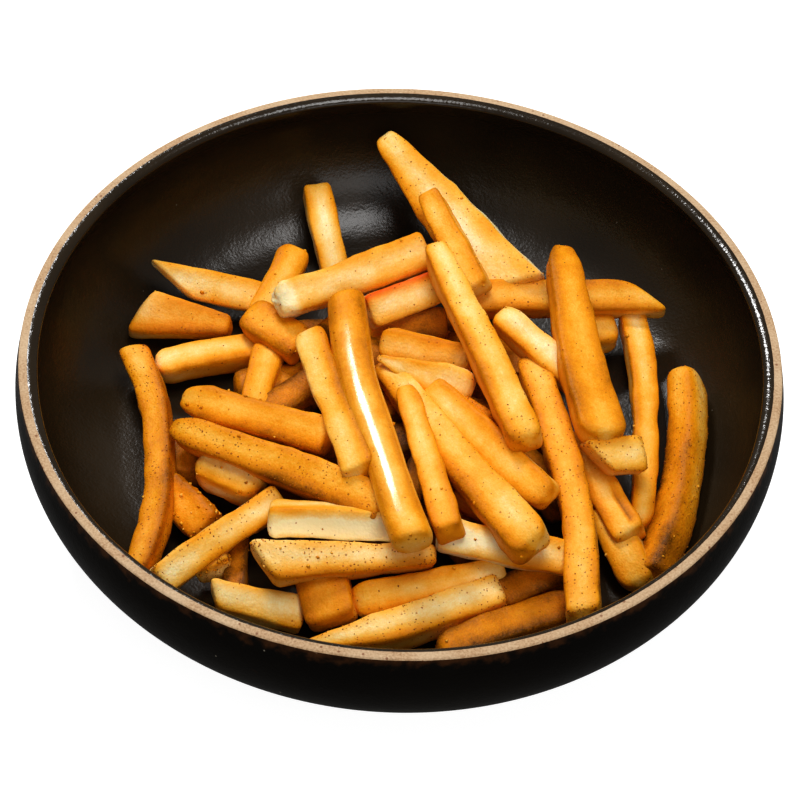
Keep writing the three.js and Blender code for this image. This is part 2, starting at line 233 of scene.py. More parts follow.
def make_piece(name, points, faces, marks, material, node=None):
    """A mesh piece in metres with its marks as attributes, riding on the part."""
    mesh = bpy.data.meshes.new(name)
    mesh.from_pydata((points * MM).tolist(), [], faces)
    mesh.validate()
    mesh.update()
    for mark, values in marks.items():
        kind = "FLOAT" if values.ndim == 1 else "FLOAT_VECTOR"
        field = "value" if values.ndim == 1 else "vector"
        mesh.attributes.new(mark, kind, "POINT").data.foreach_set(field, values.astype(np.float32).ravel())
    mesh.polygons.foreach_set("use_smooth", np.ones(len(mesh.polygons), dtype=bool))
    mesh.materials.append(material)
    piece = bpy.data.objects.new(name, mesh)
    bpy.context.scene.collection.objects.link(piece)
    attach(piece, "root")
    if node:
        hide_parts(node)
    return mesh


def colour(code):
    """An sRGB hex colour as linear red, green, blue and alpha."""
    parts = [int(code[i:i + 2], 16) / 255 for i in (0, 2, 4)]
    return [p / 12.92 if p <= 0.04045 else ((p + 0.055) / 1.055) ** 2.4 for p in parts] + [1]


def add(tree, kind, inputs=None, stops=None, **settings):
    """Adds a node with its settings, the stops of its ramp and what its sockets hold or link to."""
    made = tree.nodes.new(kind)
    for name, value in settings.items():
        setattr(made, name, value)
    if stops:
        ramp = made.color_ramp
        while len(ramp.elements) > 1:
            ramp.elements.remove(ramp.elements[-1])
        for i, (place, shade) in enumerate(stops):
            stop = ramp.elements[0] if i == 0 else ramp.elements.new(place)
            stop.position = place
            stop.color = shade
    for socket, value in (inputs or {}).items():
        if isinstance(value, bpy.types.NodeSocket):
            tree.links.new(value, made.inputs[socket])
        else:
            made.inputs[socket].default_value = value
    return made


def new_material(name):
    """An empty material and its node tree."""
    material = bpy.data.materials.new(name)
    material.use_nodes = True
    material.node_tree.nodes.clear()
    return material, material.node_tree


# ---- materials ----


def black_glazed_stoneware(name, roughness, specular, dark, light):
    """Stoneware dipped in an iron-black glaze and wiped clean on the rim before firing.

    The glaze is a brown-black glass, satin inside the bowl and nearly matt outside, pebbled like
    orange peel, with a few pale pinholes. The bare clay is buff, dry and gritty with iron specks.
    """
    material, tree = new_material(name)
    place = add(tree, "ShaderNodeTexCoord").outputs["Object"]
    bare = add(tree, "ShaderNodeAttribute", attribute_name="bare").outputs["Fac"]
    bead = add(tree, "ShaderNodeAttribute", attribute_name="bead").outputs["Fac"]

    # the edge of the glaze wanders a little, in waves 3 mm long
    wander = add(tree, "ShaderNodeTexNoise", {"Vector": place, "Scale": 330, "Detail": 3}).outputs["Fac"]
    shifted = add(tree, "ShaderNodeMath", {0: wander, 1: 0.5}, operation="SUBTRACT").outputs[0]
    uneven = add(tree, "ShaderNodeMath", {0: shifted, 1: 0.8, 2: bare}, operation="MULTIPLY_ADD").outputs[0]
    clay = add(tree, "ShaderNodeMapRange", {"Value": uneven, "From Min": 0.5, "From Max": 0.68},
               interpolation_type="SMOOTHSTEP").outputs["Result"]
    # where the glaze thins out over the clay it breaks to a rusty brown
    thin = add(tree, "ShaderNodeMapRange", {"Value": uneven, "From Min": 0.15, "From Max": 0.5},
               interpolation_type="SMOOTHSTEP").outputs["Result"]

    # clay: grit of about 0.6 mm and drifts 12 mm long
    grit = add(tree, "ShaderNodeTexNoise", {"Vector": place, "Scale": 1700, "Detail": 4}).outputs["Fac"]
    fine = add(tree, "ShaderNodeValToRGB", {"Fac": grit},
               stops=[(0.3, colour("9B7857")), (0.5, colour("B99875")), (0.72, colour("CAAF8C"))]).outputs[0]
    cloud = add(tree, "ShaderNodeTexNoise", {"Vector": place, "Scale": 80, "Detail": 2}).outputs["Fac"]
    weight = add(tree, "ShaderNodeMapRange", {"Value": cloud, "From Min": 0.4, "From Max": 0.65,
                                              "To Max": 0.45}).outputs["Result"]
    buff = add(tree, "ShaderNodeMix", {"Factor": weight, 6: fine, 7: colour("D4BD9D")},
               data_type="RGBA").outputs[2]
    # iron specks of about 0.5 mm
    iron = add(tree, "ShaderNodeTexVoronoi", {"Vector": place, "Scale": 700}, feature="F1")
    near = add(tree, "ShaderNodeMath", {0: iron.outputs["Distance"], 1: 0.25},
               operation="LESS_THAN").outputs[0]
    pick = add(tree, "ShaderNodeSeparateColor", {0: iron.outputs["Color"]}).outputs[0]
    few = add(tree, "ShaderNodeMath", {0: pick, 1: 0.88}, operation="GREATER_THAN").outputs[0]
    speck = add(tree, "ShaderNodeMath", {0: near, 1: few}, operation="MULTIPLY").outputs[0]
    faint = add(tree, "ShaderNodeMath", {0: speck, 1: 0.75}, operation="MULTIPLY").outputs[0]
    dry = add(tree, "ShaderNodeMix", {"Factor": faint, 6: buff, 7: colour("7A4A30")},
              data_type="RGBA").outputs[2]

    # glaze: slow drift between brown-black and black, pale pinholes of 0.4 mm a few centimetres apart
    drift = add(tree, "ShaderNodeTexNoise", {"Vector": place, "Scale": 30, "Detail": 2}).outputs["Fac"]
    black = add(tree, "ShaderNodeValToRGB", {"Fac": drift},
                stops=[(0.35, colour(dark)), (0.65, colour(light))]).outputs[0]
    rust = add(tree, "ShaderNodeMix", {"Factor": thin, 6: black, 7: colour("3A2312")},
               data_type="RGBA").outputs[2]
    hole = add(tree, "ShaderNodeTexVoronoi", {"Vector": place, "Scale": 260}, feature="F1")
    tiny = add(tree, "ShaderNodeMath", {0: hole.outputs["Distance"], 1: 0.06},
               operation="LESS_THAN").outputs[0]
    chance = add(tree, "ShaderNodeSeparateColor", {0: hole.outputs["Color"]}).outputs[1]
    rare = add(tree, "ShaderNodeMath", {0: chance, 1: 0.9}, operation="GREATER_THAN").outputs[0]
    pinhole = add(tree, "ShaderNodeMath", {0: tiny, 1: rare}, operation="MULTIPLY").outputs[0]
    pale = add(tree, "ShaderNodeMath", {0: pinhole, 1: 0.5}, operation="MULTIPLY").outputs[0]
    glass = add(tree, "ShaderNodeMix", {"Factor": pale, 6: rust, 7: colour("8C8578")},
                data_type="RGBA").outputs[2]

    surface = add(tree, "ShaderNodeMix", {"Factor": clay, 6: glass, 7: dry}, data_type="RGBA").outputs[2]
    # the glaze is pebbled in humps of about 0.8 mm on slow folds of 5 mm; the clay is rough
    pebble = add(tree, "ShaderNodeTexNoise", {"Vector": place, "Scale": 1250, "Detail": 2}).outputs["Fac"]
    fold = add(tree, "ShaderNodeTexNoise", {"Vector": place, "Scale": 200, "Detail": 1}).outputs["Fac"]
    skin = add(tree, "ShaderNodeMath", {0: fold, 1: 1.5, 2: pebble}, operation="MULTIPLY_ADD").outputs[0]
    relief = add(tree, "ShaderNodeMix", {"Factor": clay, 2: skin, 3: grit}, data_type="FLOAT").outputs[0]
    bump = add(tree, "ShaderNodeBump", {"Height": relief, "Strength": 0.4, "Distance": 0.0002}).outputs[0]
    dull = add(tree, "ShaderNodeMapRange", {"Value": clay, "To Min": roughness,
                                            "To Max": 0.9}).outputs["Result"]
    # the roll of glaze beside the bare clay lies thicker and is glossier
    rough = add(tree, "ShaderNodeMath", {0: bead, 1: -0.12, 2: dull}, operation="MULTIPLY_ADD").outputs[0]
    shader = add(tree, "ShaderNodeBsdfPrincipled", {
        "Base Color": surface, "Roughness": rough, "Normal": bump, "IOR": 1.5, "Specular IOR Level": specular,
    })
    add(tree, "ShaderNodeOutputMaterial", {"Surface": shader.outputs[0]})
    return material


def fried_potato():
    """Potato cut into bars and deep-fried: a thin dry crust over a steamed white middle.

    The crust is cream where it fried least and golden to brown on the edges and ends. It is faintly
    blistered and slightly oily, and light goes a millimetre or two into it. Ground spice sticks to it
    in dark and rusty specks.
    """
    material, tree = new_material("fried_potato")
    along = add(tree, "ShaderNodeAttribute", attribute_name="along").outputs["Vector"]
    tone = add(tree, "ShaderNodeAttribute", attribute_name="tone").outputs["Fac"]
    brown = add(tree, "ShaderNodeAttribute", attribute_name="browned").outputs["Fac"]
    warm = add(tree, "ShaderNodeAttribute", attribute_name="warm").outputs["Fac"]
    spice = add(tree, "ShaderNodeAttribute", attribute_name="spice").outputs["Fac"]
    oil = add(tree, "ShaderNodeAttribute", attribute_name="oil").outputs["Fac"]

    # blotches of 6 mm where the fat ran hotter, a mottle of 1.5 mm, and pits and peaks of 0.4 mm
    side = tone
    for scale, detail, strength in [(0.16, 3, 0.4), (0.7, 3, 0.2), (2.4, 1, 0.22)]:
        noise = add(tree, "ShaderNodeTexNoise", {"Vector": along, "Scale": scale, "Detail": detail})
        level = add(tree, "ShaderNodeMath", {0: noise.outputs["Fac"], 1: 0.5},
                    operation="SUBTRACT").outputs[0]
        side = add(tree, "ShaderNodeMath", {0: level, 1: strength, 2: side},
                   operation="MULTIPLY_ADD").outputs[0]
    # the edges brown more than the sides do, and least where the side is brown already
    room = add(tree, "ShaderNodeMath", {0: side, 1: -0.6, 2: 0.54}, operation="MULTIPLY_ADD").outputs[0]
    fried = add(tree, "ShaderNodeMath", {0: brown, 1: room, 2: side}, operation="MULTIPLY_ADD").outputs[0]
    crust = add(tree, "ShaderNodeValToRGB", {"Fac": fried}, stops=[
        (0.0, colour("FFEEBC")), (0.15, colour("FCD890")), (0.3, colour("F7C264")),
        (0.45, colour("F3B03E")), (0.6, colour("EA9816")), (0.75, colour("D68208")),
        (0.87, colour("B46C04")), (0.97, colour("8A5002")), (1.0, colour("6A3E00")),
    ]).outputs[0]
    glow = add(tree, "ShaderNodeMix", {"Factor": warm, 6: crust, 7: colour("F07020")},
               data_type="RGBA", blend_type="MULTIPLY").outputs[2]

    # the finest of the ground spice, specks of 0.2 to 0.5 mm
    grains = add(tree, "ShaderNodeTexVoronoi", {"Vector": along, "Scale": 1.1}, feature="F1")
    pick = add(tree, "ShaderNodeSeparateColor", {0: grains.outputs["Color"]})
    here = add(tree, "ShaderNodeMath", {0: pick.outputs[0], 1: spice}, operation="LESS_THAN").outputs[0]
    wide = add(tree, "ShaderNodeMapRange", {"Value": pick.outputs[1], "To Min": 0.14, "To Max": 0.34})
    inside = add(tree, "ShaderNodeMath", {0: grains.outputs["Distance"], 1: wide.outputs["Result"]},
                 operation="LESS_THAN").outputs[0]
    speck = add(tree, "ShaderNodeMath", {0: here, 1: inside}, operation="MULTIPLY").outputs[0]
    faint = add(tree, "ShaderNodeMath", {0: speck, 1: 0.7}, operation="MULTIPLY").outputs[0]
    shade = add(tree, "ShaderNodeValToRGB", {"Fac": pick.outputs[2]},
                stops=[(0.0, colour("6A3408")), (0.5, colour("A04E0C")), (1.0, colour("C06A14"))]).outputs[0]
    surface = add(tree, "ShaderNodeMix", {"Factor": faint, 6: glow, 7: shade}, data_type="RGBA").outputs[2]

    # blisters of about 2.5 mm and a fine dry grain of 0.6 mm
    blister = add(tree, "ShaderNodeTexNoise", {"Vector": along, "Scale": 0.4, "Detail": 2}).outputs["Fac"]
    grain = add(tree, "ShaderNodeTexNoise", {"Vector": along, "Scale": 1.6, "Detail": 2}).outputs["Fac"]
    both = add(tree, "ShaderNodeMath", {0: grain, 1: 0.45, 2: blister}, operation="MULTIPLY_ADD").outputs[0]
    bump = add(tree, "ShaderNodeBump", {"Height": both, "Strength": 0.5, "Distance": 0.0005}).outputs[0]
    dull = add(tree, "ShaderNodeMapRange", {"Value": grain, "To Min": 0.42, "To Max": 0.58}).outputs["Result"]
    rough = add(tree, "ShaderNodeMath", {0: oil, 1: -0.1, 2: dull}, operation="MULTIPLY_ADD").outputs[0]
    shader = add(tree, "ShaderNodeBsdfPrincipled", {
        "Base Color": surface, "Roughness": rough, "Normal": bump, "IOR": 1.45, "Specular IOR Level": 0.17,
        "Coat Weight": oil, "Coat Roughness": 0.16, "Coat IOR": 1.4,
        "Subsurface Weight": 0.15, "Subsurface Radius": (1.0, 0.5, 0.15), "Subsurface Scale": 0.0025,
    })
    add(tree, "ShaderNodeOutputMaterial", {"Surface": shader.outputs[0]})
    return material


def ground_spice():
    """Dried paprika and pepper, ground to flakes: dull, brick red to nearly black."""
    material, tree = new_material("ground_spice")
    which = add(tree, "ShaderNodeAttribute", attribute_name="shade").outputs["Fac"]
    place = add(tree, "ShaderNodeTexCoord").outputs["Object"]
    # fibres of 0.1 mm
    fibre = add(tree, "ShaderNodeTexNoise", {"Vector": place, "Scale": 8000, "Detail": 1}).outputs["Fac"]
    shade = add(tree, "ShaderNodeMath", {0: fibre, 1: 0.3, 2: which}, operation="MULTIPLY_ADD").outputs[0]
    flake = add(tree, "ShaderNodeValToRGB", {"Fac": shade}, stops=[
        (0.1, colour("6A3408")), (0.5, colour("94480A")), (0.9, colour("B8640E")), (1.0, colour("C87E20")),
    ]).outputs[0]
    shader = add(tree, "ShaderNodeBsdfPrincipled", {"Base Color": flake, "Roughness": 0.75, "IOR": 1.45})
    add(tree, "ShaderNodeOutputMaterial", {"Surface": shader.outputs[0]})
    return material


# ---- the bowl ----


def belly(radius, first, last, steps):
    """Points (r, z) on the round of the side, by degrees below the level of its centre."""
    angles = np.radians(np.linspace(first, last, steps))
    return np.column_stack([BELLY_R + radius * np.cos(angles), BELLY_Z - radius * np.sin(angles)])


def arc(centre, radius, first, last, steps):
    """Points (r, z) on a round, by degrees above the level of its centre."""
    angles = np.radians(np.linspace(first, last, steps))
    return np.column_stack([centre[0] + radius * np.cos(angles), centre[1] + radius * np.sin(angles)])


def bowl_profile():
    """The bowl's section, from the middle of its underside round to the middle of its floor.

    The second array is 1 on the bare rim, the third is 1 on the roll of glaze beside it, and the
    last value is how many rings of faces are outside.
    """
    glaze_edge = RIM_RADIUS - RIM_WIDTH
    bottom = np.column_stack([np.linspace(0, FOOT_INNER - 1, 10), np.full(10, FOOT_HEIGHT)])
    foot = np.array([
        (FOOT_INNER - 0.3, FOOT_HEIGHT - 0.3), (FOOT_INNER, FOOT_HEIGHT - 1), (FOOT_INNER + 0.2, 0.6),
        (FOOT_INNER + 0.8, 0), (FOOT_OUTER - 0.8, 0), (FOOT_OUTER - 0.1, 0.5), (FOOT_OUTER + 0.4, 1.4),
        (FOOT_OUTER + FOOT_FLARE, FOOT_HEIGHT + 0.8),
    ])
    outside = belly(BELLY_RADIUS, UNDERSIDE_ANGLE, -SHOULDER_ANGLE, 44)
    outer_edge = arc((RIM_RADIUS - RIM_EASE, HEIGHT - RIM_EASE), RIM_EASE, 0, 90, 7)
    flat = np.column_stack([np.linspace(RIM_RADIUS - RIM_EASE, glaze_edge, 8)[1:-1], np.full(6, HEIGHT)])
    turn = np.radians(np.linspace(90, 180, 12))
    bead = np.column_stack([glaze_edge + BEAD_WIDTH * np.cos(turn),
                            HEIGHT - BEAD_DEPTH + BEAD_DEPTH * np.sin(turn)])
    full_inside = belly(BELLY_RADIUS - WALL, -SHOULDER_ANGLE, FLOOR_ANGLE, 56)
    below = full_inside[full_inside[:, 1] < HEIGHT - BEAD_DEPTH - 1]
    # under the roll the glaze swings back out to the wall
    back = smooth(BEAD_RETURN, 0, HEIGHT - BEAD_DEPTH - below[:, 1])
    inside = below - np.column_stack([back * BEAD_STEP, np.zeros(len(below))])
    edge = inside[-1]
    shares = np.linspace(1, 0, 15)[1:]
    floor = np.column_stack([edge[0] * shares, FLOOR_HEIGHT + (edge[1] - FLOOR_HEIGHT) * shares ** 2])
    parts = [bottom, foot, outside, outer_edge, flat, bead, inside, floor]
    profile = np.vstack(parts)
    outer = sum(len(part) for part in parts[:3])
    bare = np.zeros(len(profile))
    first_of_roll = outer + len(outer_edge) + len(flat)
    bare[outer + 1:first_of_roll] = 1
    bare[outer] = 0.4
    roll = np.zeros(len(profile))
    roll[first_of_roll:first_of_roll + len(bead) + 1] = 1
    return profile, bare, roll, outer + 3


def bowl_piece(inside_glaze, outside_glaze):
    """The bowl, turned on a wheel: its section about +Z."""
    profile, on_top, on_roll, outer = bowl_profile()
    around = BOWL_AROUND
    angles = np.linspace(0, 2 * math.pi, around, endpoint=False)
    rings = profile[1:-1]
    points = [np.array([[0, 0, profile[0, 1]]])]
    # the roll of glaze ran less on the near side and is narrower there
    narrow = BEAD_LOSS * smooth(-0.1, -0.7, np.sin(angles))
    for (r, z), rolled in zip(rings, on_roll[1:-1]):
        out = r + (RIM_RADIUS - RIM_WIDTH - r) * narrow * rolled
        points.append(np.column_stack([out * np.cos(angles), out * np.sin(angles), np.full(around, z)]))
    points.append(np.array([[0, 0, profile[-1, 1]]]))
    points = np.vstack(points)
    bare = np.concatenate([[0], np.repeat(on_top[1:-1], around), [0]])
    bead = np.concatenate([[0], np.repeat(on_roll[1:-1], around), [0]])
    last = len(points) - 1
    faces = [(0, 1 + (i + 1) % around, 1 + i) for i in range(around)]
    for ring in range(len(rings) - 1):
        base = 1 + ring * around
        for i in range(around):
            j = (i + 1) % around
            faces.append((base + i, base + j, base + around + j, base + around + i))
    faces += [(last, last - around + i, last - around + (i + 1) % around) for i in range(around)]
    marks = {"bare": bare, "bead": bead}
    mesh = make_piece("bowl_glazed", points, faces, marks, inside_glaze, "bowl")
    mesh.materials.append(outside_glaze)
    is_outside = np.zeros(len(faces), dtype=np.int32)
    is_outside[:around * outer] = 1
    mesh.polygons.foreach_set("material_index", is_outside)


# ---- the fries ----


def swell(distance, end):
    """What share of its full width a fry has at a distance from one end."""
    run, left, curve = end
    to_full = np.clip(1 - distance / run, 0, 1)
    return left + (1 - left) * (1 - to_full ** curve) ** (1 / curve)


def stations(length, first, last, step):
    """Distances along a fry, closer together round its ends."""
    shares = np.linspace(0, 1, 6 if step < 3 else 2, endpoint=False) ** 1.6
    begin = min(first[0], END_RUN)
    finish = min(last[0], END_RUN)
    count = max(2, int((length - finish - begin) / step))
    middle = np.linspace(begin, length - finish, count)
    return np.concatenate([begin * shares, middle, length - (finish * shares)[::-1]])


def rounded_section(around, power):
    """Points of a rounded square from -1 to 1, closer together on its corners."""
    turn = np.linspace(0, 2 * math.pi, around, endpoint=False) + math.pi / around
    turn = turn + 0.17 * np.sin(4 * turn)
    c, s = np.cos(turn), np.sin(turn)
    r = (np.abs(c) ** power + np.abs(s) ** power) ** (-1 / power)
    return np.column_stack([r * c, r * s])


def keep_in_bowl(points):
    """Moves what would cross the glaze back inside it."""
    flat = np.hypot(points[:, 0], points[:, 1])
    inner = BELLY_RADIUS - WALL
    reach = inner - GLAZE_GAP
    out = flat - BELLY_R
    down = points[:, 2] - BELLY_Z
    away = np.hypot(out, down)
    # the side, which is round up to the rim
    past = (away > reach) & (out > 0) & (down < 12)
    scale = np.where(past, reach / np.maximum(away, 1e-6), 1)
    new_flat = np.where(past, BELLY_R + out * scale, flat)
    new_z = np.where(past, BELLY_Z + down * scale, points[:, 2])
    # the floor, which is dished and runs on a little under the side
    edge_z = BELLY_Z - inner * math.sin(math.radians(FLOOR_ANGLE))
    edge_r = BELLY_R + inner * math.cos(math.radians(FLOOR_ANGLE))
    floor = FLOOR_HEIGHT + (edge_z - FLOOR_HEIGHT) * np.clip(new_flat / edge_r, 0, 1) ** 2 + GLAZE_GAP
    new_z = np.where(new_flat < BELLY_R + 4, np.maximum(new_z, floor), new_z)
    ratio = new_flat / np.maximum(flat, 1e-6)
    return np.column_stack([points[:, 0] * ratio, points[:, 1] * ratio, new_z])


def fry_axes(one):
    """Where a fry starts, its length, and the ways along it, to its left, over it, and rolled with it."""
    start = np.array(one["start"], float)
    way = np.array(one["finish"], float) - start
    length = np.linalg.norm(way)
    way /= length
    left = np.array([-way[1], way[0], 0])
    left /= np.linalg.norm(left)
    over = np.cross(way, left)
    roll = math.radians(one["roll"])
    aside = left * math.cos(roll) + over * math.sin(roll)
    up = np.cross(way, aside)
    return start, length, way, left, over, aside, up


def cut_bar(one, along, length, line, around, stream):
    """The rings of a bar that shrank as it fried, in its own axes, and the section that they share."""
    first, last = [ENDS[name] for name in one["ends"]]
    share = along / length
    size = swell(along, first) * swell(length - along, last)
    fat = 1 + 0.04 * lumps(line, 15, 31)
    tall = 1 + 0.04 * lumps(line, 17, 32)
    taper = one["taper"][0] + (one["taper"][1] - one["taper"][0]) * share
    half_width = one["width"] / 2 * size * fat * taper
    half_depth = one["depth"] / 2 * size * (1 + (tall - 1) * (1 - 0.8 * one["oil"]))
    lean = np.tan(np.radians(one["slant"][0])) * (1 - share) + np.tan(np.radians(one["slant"][1])) * share

    section = rounded_section(around, one["plump"] or stream.uniform(4.8, 7))
    skew = stream.uniform(-0.07, 0.07)
    x = (section[:, 0] + skew * section[:, 1]) * half_width[:, None]
    y = section[:, 1] * half_depth[:, None]
    # the middle of each side has sunk a little as the inside steamed out
    sunk = 1 - np.minimum(np.abs(section[:, 0]), np.abs(section[:, 1])) ** 1.5
    sink = (0.14 + 0.12 * stream.rand()) * sunk * size[:, None] * (1 - one["oil"])
    wide = np.abs(section[:, 0]) > np.abs(section[:, 1])
    x = x - np.sign(section[:, 0]) * sink * wide
    y = y - np.sign(section[:, 1]) * sink * ~wide
    return np.stack([along[:, None] + x * lean[:, None], x, y], axis=2), section


def close_ends(rings, along, length):
    """The rings with both ends drawn in to the middle of a slightly bulging cut, and how far on each is."""
    bulge = 0.5 * (1 - DRAWN_IN ** 2)
    start, finish = rings[0].mean(0), rings[-1].mean(0)
    heads = start + (rings[0] - start) * DRAWN_IN[:, None, None]
    tails = finish + (rings[-1] - finish) * DRAWN_IN[:, None, None]
    heads[:, :, 0] -= bulge[:, None]
    tails[:, :, 0] += bulge[:, None]
    distance = np.concatenate([np.zeros(len(DRAWN_IN)), along, np.full(len(DRAWN_IN), length)])
    return np.concatenate([heads[::-1], rings, tails]), distance


def crust_relief(one, place, distance, length, section):
    """How far the crust stands out at each point, and how torn and how cracked it is there."""
    dent = (0.22 * lumps(place, 7, 35) + 0.12 * lumps(place, 3, 36, 20)) * (1 - 0.8 * one["oil"])
    torn_start = smooth(6.5, 3.5, distance) * (one["ends"][0] == "torn")
    torn_finish = smooth(6.5, 3.5, length - distance) * (one["ends"][1] == "torn")
    torn = np.maximum(torn_start, torn_finish)
    ragged = 0.3 * lumps(place, 2.4, 37, 24) + 0.35 * lumps(place, 1.3, 41, 24)
    rough = np.maximum(torn, one["crumbly"])
    # a crack follows one line of points along the top
    top_line = np.argmin(np.abs(section[:, 0] - 0.45) + (section[:, 1] < 0))
    crack = one["split"] * np.tile(np.arange(len(section)) == top_line, len(place) // len(section))
    crack = crack * smooth(length * 0.5, length * 0.7, distance) * smooth(length - 1, length - 4, distance)
    return dent + rough * ragged - 0.7 * crack, torn, crack


def crust_marks(one, place, distance, length, section, torn, crack):
    """What the crust's material needs to know at each point."""
    around = len(section)
    count = len(place) // around
    side = np.tile(section[:, 0], count)
    corner = np.minimum(np.abs(section[:, 0]), np.abs(section[:, 1]))
    # an edge fades out where the end rings draw it in over the cut
    drawn = np.concatenate([DRAWN_IN[::-1] ** 3, np.ones(count - 2 * len(DRAWN_IN)), DRAWN_IN ** 3])
    on_edge = np.tile(smooth(0.15, 0.95, corner), count) * np.repeat(drawn, around)
    on_end = np.exp(-np.minimum(distance, length - distance) / 2.0)
    uneven = lumps(place, 8, 38)
    patch = lumps(place, 15, 39)
    flush = one["blush"] * side * (0.49 + 0.91 * np.tile(smooth(-0.6, 0.8, section[:, 1]), count))
    browned = one["edge"] * np.maximum(on_edge, 0.8 * on_end) * np.clip(0.7 + 0.5 * uneven, 0, 1.3)
    return {
        # along a split the tone is raised as well: painted shade in the crack's groove
        "tone": (one["tone"] + one["turn"] * distance / length + one["across"] * side + 0.08 * patch
                 - 0.24 * (1 - on_edge) + 0.08 - 0.24 * torn + 0.45 * crack),
        "browned": np.clip(browned, 0, 1) * (1 - torn),
        "warm": np.clip(one["warm"] * (0.7 + 0.3 * patch) + np.clip(flush - 0.5, 0, 1), 0, 1),
        "spice": np.clip(one["spice"] * (0.3 + 0.18 * lumps(place, 9, 40) + 0.2 * on_end), 0.02, 1),
        "oil": one["oil"] * smooth(0.1, 0.28, distance / length) * smooth(0.95, 0.8, distance / length),
        "along": place,
    }


def fry_surface(one, around, step, number):
    """The rings of one fry, closed at both ends, and the marks on their points."""
    start, length, way, left, over, aside, up = fry_axes(one)
    first, last = [ENDS[name] for name in one["ends"]]
    along = stations(length, first, last, step)
    # its number gives each fry a place of its own in the random fields
    line = np.column_stack([along, np.full_like(along, number * 37.0), np.zeros_like(along)])
    rings, section = cut_bar(one, along, length, line, around, np.random.RandomState(900 + number))
    rings, distance = close_ends(rings, along, length)
    local = rings.reshape(-1, 3)
    distance = np.repeat(distance, around)
    place = local + np.array([number * 53.0, number * 17.0, number * 29.0])
    relief, torn, crack = crust_relief(one, place, distance, length, section)

    outward = local - np.column_stack([np.clip(distance, 2, length - 2), np.zeros((len(local), 2))])
    outward /= np.maximum(np.linalg.norm(outward, axis=1), 1e-6)[:, None]
    local = local + outward * relief[:, None]

    share = along / length
    sideways = one["bow"] * 4 * share * (1 - share) + 0.4 * lumps(line, 22, 33)
    lift = 0.3 * lumps(line, 24, 34) * (1 - one["oil"])
    points = (start + way * local[:, :1] + left * np.interp(distance, along, sideways)[:, None]
              + over * np.interp(distance, along, lift)[:, None] + aside * local[:, 1:2] + up * local[:, 2:3])
    marks = crust_marks(one, place, distance, length, section, torn, crack)
    return keep_in_bowl(points).reshape(len(rings), around, 3), marks


def heap_piece(name, fries, around, step, material, node=None, first=0):
    """Many fries as one mesh, numbered from first. Gives back the rings of each."""
    laid = [fry_surface(one, around, step, number + first) for number, one in enumerate(fries)]
    faces, count = [], 0
    for rings, _ in laid:
        for ring in range(len(rings) - 1):
            base = count + ring * around
            for i in range(around):
                j = (i + 1) % around
                faces.append((base + i, base + j, base + around + j, base + around + i))
        faces.append(tuple(count + i for i in range(around - 1, -1, -1)))
        count += len(rings) * around
        faces.append(tuple(count - around + i for i in range(around)))
    points = np.vstack([rings.reshape(-1, 3) for rings, _ in laid])
    marks = {mark: np.concatenate([its_marks[mark] for _, its_marks in laid]) for mark in laid[0][1]}
    make_piece(name, points, faces, marks, material, node)
    return [rings for rings, _ in laid]


def inside_a_fry(places, fries, margin):
    """Which places lie inside one of the fries, at least a margin deep."""
    inside = np.zeros(len(places), dtype=bool)
    for one in fries:
        start, length, way, left, _, aside, up = fry_axes(one)
        away = places - start
        distance = away @ way
        share = np.clip(distance / length, 0, 1)
        bend = one["bow"] * 4 * share * (1 - share)
        away = away - left * bend[:, None]
        inside |= ((distance > 1) & (distance < length - 1)
                   & (np.abs(away @ aside) < one["width"] / 2 * min(one["taper"]) - margin)
                   & (np.abs(away @ up) < one["depth"] / 2 - margin))
    return inside


def grain_places(rings_of_fries, fries, per_fry, stream):
    """Random places on the upper sides of fries that no other fry covers, and the way out at each."""
    places, ups, sources = [], [], []
    for number, (rings, one) in enumerate(zip(rings_of_fries, fries)):
        count, around = rings.shape[:2]
        wanted = int(per_fry(one))
        ring = stream.uniform(3, count - 4, wanted)
        turn = stream.randint(0, around, wanted)
        after = (turn + 1) % around
        low = ring.astype(int)
        share = (ring - low)[:, None]
        here = rings[low, turn] * (1 - share) + rings[low + 1, turn] * share
        beside = rings[low, after] * (1 - share) + rings[low + 1, after] * share
        mix = stream.rand(wanted, 1)
        normal = np.cross(beside - here, rings[low + 1, turn] - rings[low, turn])
        normal /= np.maximum(np.linalg.norm(normal, axis=1), 1e-9)[:, None]
        centre = rings[low].mean(axis=1)
        normal *= np.sign(((here - centre) * normal).sum(1))[:, None]
        places.append(here * (1 - mix) + beside * mix)
        ups.append(normal)
        sources.append(np.full(wanted, number))
    places, ups, sources = np.vstack(places), np.vstack(ups), np.concatenate(sources)
    seen = ups[:, 2] > -0.1
    for number in range(len(fries)):
        mine = sources == number
        others = fries[:number] + fries[number + 1:]
        seen[mine] &= ~inside_a_fry(places[mine], others, COVERED)
    return places[seen], ups[seen]


